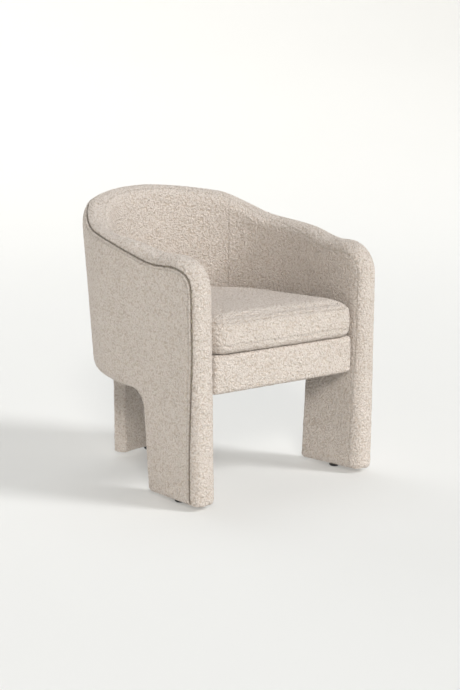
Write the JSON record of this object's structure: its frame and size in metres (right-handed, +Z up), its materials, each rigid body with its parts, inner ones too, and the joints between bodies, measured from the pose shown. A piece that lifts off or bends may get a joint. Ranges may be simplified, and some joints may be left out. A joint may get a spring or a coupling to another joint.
{
  "type": "upholstered barrel armchair",
  "caption": "Low-backed barrel armchair fully wrapped in cream looped-pile fabric, with a rolled edge, wide panel front legs, a curved rear leg and a loose seat cushion.",
  "frame": {"origin": "on the floor, under the centre of the bounding box", "axes": "+Z up; the chair faces -Y; +X is on the right of someone who stands in front of the chair and looks at it"},
  "size_m": [0.6606, 0.6075, 0.72],
  "materials": {
    "boucle": "matte",
    "foam": "matte",
    "wadding": "matte",
    "birch_plywood": "matte",
    "pine": "matte",
    "webbing": "matte",
    "deck_cloth": "matte",
    "dust_cloth": "matte",
    "glide_plastic": "satin",
    "steel": "satin",
    "zip_tape": "matte"
  },
  "bodies": {
    "chair": {"cover_front_rail": "boucle", "cover_inside_arm_left": "boucle", "cover_inside_arm_right": "boucle", "cover_inside_back": "boucle", "cover_outside": "boucle", "cover_rear_leg": "boucle", "cover_roll_back": "boucle", "cover_roll_left": "boucle", "cover_roll_right": "boucle", "deck_pad": "deck_cloth", "dust_cloth": "dust_cloth", "foam_front_rail": "foam", "foam_inside_arm_left": "foam", "foam_inside_arm_right": "foam", "foam_inside_back": "foam", "foam_rear_leg": "foam", "foam_roll_back": "foam", "foam_roll_left": "foam", "foam_roll_right": "foam", "frame_arm_left": "birch_plywood", "frame_arm_right": "birch_plywood", "frame_back": "birch_plywood", "glide_left": "glide_plastic", "glide_pin_left": "steel", "glide_pin_rear": "steel", "glide_pin_right": "steel", "glide_rear": "glide_plastic", "glide_right": "glide_plastic", "leg_block_left": "pine", "leg_block_right": "pine", "rear_dowel_left": "pine", "rear_dowel_right": "pine", "rear_leg_post": "pine", "seat_bolt_front_left": "steel", "seat_bolt_front_right": "steel", "seat_bolt_rear_left": "steel", "seat_bolt_rear_right": "steel", "seat_rail_front": "pine", "seat_rail_left": "pine", "seat_rail_rear": "birch_plywood", "seat_rail_right": "pine", "strap_cross_1": "webbing", "strap_cross_2": "webbing", "strap_cross_3": "webbing", "strap_long_1": "webbing", "strap_long_2": "webbing", "strap_long_3": "webbing", "strap_long_4": "webbing", "wadding_outside_back": "wadding", "wadding_outside_left": "wadding", "wadding_outside_right": "wadding"},
    "seat_cushion": {"cushion_cover": "boucle", "cushion_foam": "foam", "zip_tape": "zip_tape"},
    "zip_slider": {"zip_slider": "steel"},
    "zip_pull": {"zip_pull": "steel"}
  },
  "joints": [
    {"name": "seat_cushion_lift", "type": "slide", "parent": "chair", "child": "seat_cushion", "axis": [0, 0, 1], "range_m": [0, 0.3]},
    {"name": "zip_slide", "type": "hinge", "parent": "seat_cushion", "child": "zip_slider", "pos_m": [0, -0.0137, 0.398], "axis": [0, 0, 1], "range_deg": [0, 91]},
    {"name": "zip_pull_swing", "type": "hinge", "parent": "zip_slider", "child": "zip_pull", "pos_m": [0.1652, 0.14747, 0.401], "axis": [0.6983, -0.7158, 0], "range_deg": [0, 20]}
  ]
}
